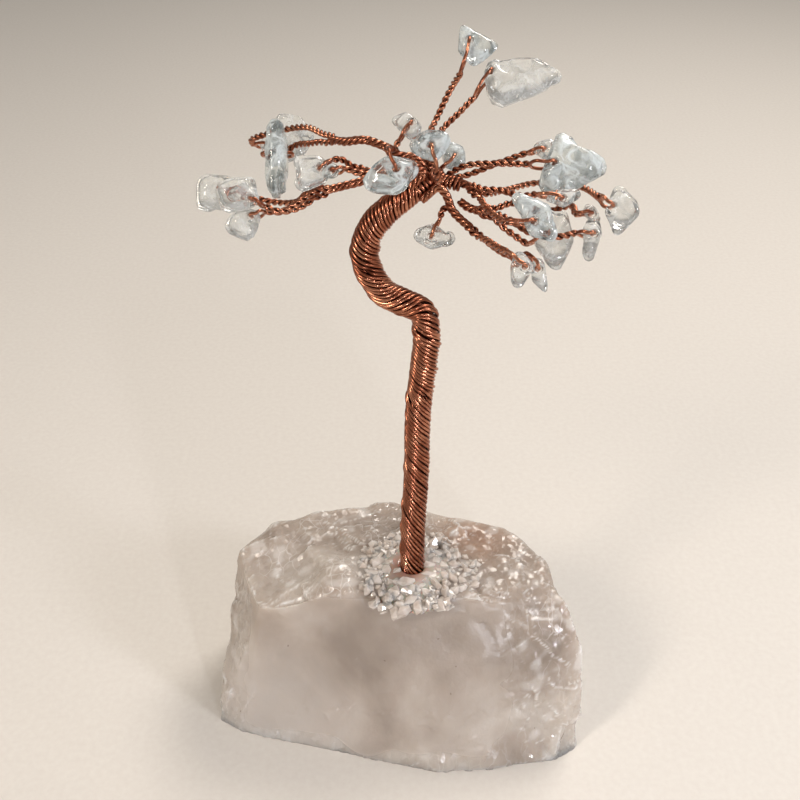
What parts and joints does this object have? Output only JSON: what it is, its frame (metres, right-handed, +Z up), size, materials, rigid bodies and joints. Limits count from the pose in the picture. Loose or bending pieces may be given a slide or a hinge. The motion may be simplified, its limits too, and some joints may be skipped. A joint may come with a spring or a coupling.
{
  "type": "wire gem tree",
  "caption": "Small table-top tree: a rope of copper wires bends in an S above a raw quartz lump and fans into twisted twigs that hold drilled clear quartz chips.",
  "frame": {"origin": "in the flat underside of the rock, the plane the tree stands on, below the middle of the lump", "axes": "+Z up, front of the tree towards -Y, +X to the right seen from the front"},
  "size_m": [0.0622, 0.0396, 0.1113],
  "materials": {
    "copper": "bare drawn copper wire, lightly browned",
    "copper_core": "bare copper wire, darker where it is shaded by the outer wires",
    "rock": "raw milky quartz, translucent, glassy broken faces",
    "chips": "tumbled clear quartz, polished",
    "grit": "crushed clear quartz",
    "glue": "clear set resin"
  },
  "bodies": {
    "tree": {"rock_base": "rock", "glue": "glue", "grit": "grit", "trunk_core": "copper_core", "trunk_wrap": "copper", "stem_left_high": "copper", "stem_left_mid": "copper", "stem_left_low": "copper", "stem_right": "copper", "stem_low": "copper", "stem_right_low": "copper", "twig_left_low_a": "copper", "twig_left_low_b": "copper", "twig_left_low_c": "copper", "twig_left_high_a": "copper", "twig_left_high_b": "copper", "twig_left_mid_a": "copper", "twig_left_mid_b": "copper", "twig_middle_a": "copper", "twig_middle_b": "copper", "twig_middle_c": "copper", "twig_back": "copper", "twig_top_a": "copper", "twig_top_b": "copper", "twig_right_high_a": "copper", "twig_right_high_b": "copper", "twig_right_a": "copper", "twig_right_b": "copper", "twig_right_c": "copper", "twig_right_d": "copper", "twig_right_e": "copper", "twig_right_f": "copper", "twig_low_a": "copper", "twig_low_b": "copper", "twig_front": "copper"},
    "quartz_left_low_a": {"chip_left_low_a": "chips"},
    "quartz_left_low_b": {"chip_left_low_b": "chips"},
    "quartz_left_low_c": {"chip_left_low_c": "chips"},
    "quartz_left_high_a": {"chip_left_high_a": "chips"},
    "quartz_left_high_b": {"chip_left_high_b": "chips"},
    "quartz_left_mid_a": {"chip_left_mid_a": "chips"},
    "quartz_left_mid_b": {"chip_left_mid_b": "chips"},
    "quartz_middle_a": {"chip_middle_a": "chips"},
    "quartz_middle_b": {"chip_middle_b": "chips"},
    "quartz_middle_c": {"chip_middle_c": "chips"},
    "quartz_back": {"chip_back": "chips"},
    "quartz_top_a": {"chip_top_a": "chips"},
    "quartz_top_b": {"chip_top_b": "chips"},
    "quartz_right_high_a": {"chip_right_high_a": "chips"},
    "quartz_right_high_b": {"chip_right_high_b": "chips"},
    "quartz_right_a": {"chip_right_a": "chips"},
    "quartz_right_b": {"chip_right_b": "chips"},
    "quartz_right_c": {"chip_right_c": "chips"},
    "quartz_right_d": {"chip_right_d": "chips"},
    "quartz_right_e": {"chip_right_e": "chips"},
    "quartz_right_f": {"chip_right_f": "chips"},
    "quartz_low_a": {"chip_low_a": "chips"},
    "quartz_low_b": {"chip_low_b": "chips"},
    "quartz_front": {"chip_front": "chips"}
  },
  "joints": [
    {"name": "left_low_a_swing", "type": "hinge", "parent": "tree", "child": "quartz_left_low_a", "pos_m": [-0.0235, 0.0095, 0.09], "axis": [0, -0.8192, 0.5736], "range_deg": [-15, 15]},
    {"name": "left_low_b_swing", "type": "hinge", "parent": "tree", "child": "quartz_left_low_b", "pos_m": [-0.019, 0, 0.0935], "axis": [0, -0.8192, 0.5736], "range_deg": [-15, 15]},
    {"name": "left_low_c_swing", "type": "hinge", "parent": "tree", "child": "quartz_left_low_c", "pos_m": [-0.0195, 0.0025, 0.09], "axis": [0, -0.8192, 0.5736], "range_deg": [-15, 15]},
    {"name": "left_high_a_swing", "type": "hinge", "parent": "tree", "child": "quartz_left_high_a", "pos_m": [-0.0165, 0.0095, 0.096], "axis": [-1, 0, 0], "range_deg": [-8, 8]},
    {"name": "left_high_b_swing", "type": "hinge", "parent": "tree", "child": "quartz_left_high_b", "pos_m": [-0.018, 0.018, 0.0935], "axis": [0, -0.8192, 0.5736], "range_deg": [-12, 12]},
    {"name": "left_mid_a_swing", "type": "hinge", "parent": "tree", "child": "quartz_left_mid_a", "pos_m": [-0.0105, 0.003, 0.0964], "axis": [0.2588, -0.7912, 0.554], "range_deg": [-15, 15]},
    {"name": "left_mid_b_swing", "type": "hinge", "parent": "tree", "child": "quartz_left_mid_b", "pos_m": [-0.0085, 0.001, 0.097], "axis": [-0.1736, -0.8067, 0.5649], "range_deg": [-20, 20]},
    {"name": "middle_a_swing", "type": "hinge", "parent": "tree", "child": "quartz_middle_a", "pos_m": [-0.0005, -0.0025, 0.0985], "axis": [0, -0.8192, 0.5736], "range_deg": [-10, 10]},
    {"name": "middle_b_swing", "type": "hinge", "parent": "tree", "child": "quartz_middle_b", "pos_m": [0.0038, -0.001, 0.101], "axis": [0, -0.8192, 0.5736], "range_deg": [-10, 10]},
    {"name": "middle_c_swing", "type": "hinge", "parent": "tree", "child": "quartz_middle_c", "pos_m": [0.007, 0.0076, 0.0962], "axis": [0.1736, -0.8067, 0.5649], "range_deg": [-15, 15]},
    {"name": "back_swing", "type": "hinge", "parent": "tree", "child": "quartz_back", "pos_m": [0.0015, 0.0085, 0.1005], "axis": [0, -0.8192, 0.5736], "range_deg": [-20, 20]},
    {"name": "top_a_swing", "type": "hinge", "parent": "tree", "child": "quartz_top_a", "pos_m": [0.009, 0.014, 0.1095], "axis": [0, -0.8192, 0.5736], "range_deg": [-20, 20]},
    {"name": "top_b_swing", "type": "hinge", "parent": "tree", "child": "quartz_top_b", "pos_m": [0.0122, 0.0165, 0.1044], "axis": [0, -0.8192, 0.5736], "range_deg": [-15, 15]},
    {"name": "right_high_a_swing", "type": "hinge", "parent": "tree", "child": "quartz_right_high_a", "pos_m": [0.0195, 0.002, 0.0975], "axis": [0, -0.8192, 0.5736], "range_deg": [-12, 12]},
    {"name": "right_high_b_swing", "type": "hinge", "parent": "tree", "child": "quartz_right_high_b", "pos_m": [0.019, 0.008, 0.097], "axis": [0, -0.8192, 0.5736], "range_deg": [-20, 20]},
    {"name": "right_a_swing", "type": "hinge", "parent": "tree", "child": "quartz_right_a", "pos_m": [0.016, -0.0095, 0.095], "axis": [0, -0.8192, 0.5736], "range_deg": [-15, 15]},
    {"name": "right_b_swing", "type": "hinge", "parent": "tree", "child": "quartz_right_b", "pos_m": [0.02, -0.004, 0.0955], "axis": [0, -0.8192, 0.5736], "range_deg": [-10, 10]},
    {"name": "right_c_swing", "type": "hinge", "parent": "tree", "child": "quartz_right_c", "pos_m": [0.0255, -0.0075, 0.096], "axis": [0, -0.8192, 0.5736], "range_deg": [-20, 20]},
    {"name": "right_d_swing", "type": "hinge", "parent": "tree", "child": "quartz_right_d", "pos_m": [0.0236, -0.0052, 0.094], "axis": [0, -0.8192, 0.5736], "range_deg": [-15, 15]},
    {"name": "right_e_swing", "type": "hinge", "parent": "tree", "child": "quartz_right_e", "pos_m": [0.0235, -0.008, 0.0926], "axis": [0, -0.8192, 0.5736], "range_deg": [-20, 20]},
    {"name": "right_f_swing", "type": "hinge", "parent": "tree", "child": "quartz_right_f", "pos_m": [0.019, -0.0045, 0.091], "axis": [0, -0.8192, 0.5736], "range_deg": [-15, 15]},
    {"name": "low_a_swing", "type": "hinge", "parent": "tree", "child": "quartz_low_a", "pos_m": [0.015, -0.0125, 0.0905], "axis": [0, -0.8192, 0.5736], "range_deg": [-20, 20]},
    {"name": "low_b_swing", "type": "hinge", "parent": "tree", "child": "quartz_low_b", "pos_m": [0.017, -0.0095, 0.0886], "axis": [0, -0.8192, 0.5736], "range_deg": [-20, 20]},
    {"name": "front_swing", "type": "hinge", "parent": "tree", "child": "quartz_front", "pos_m": [0.004, -0.0015, 0.089], "axis": [0, -0.8192, 0.5736], "range_deg": [-20, 20]}
  ]
}
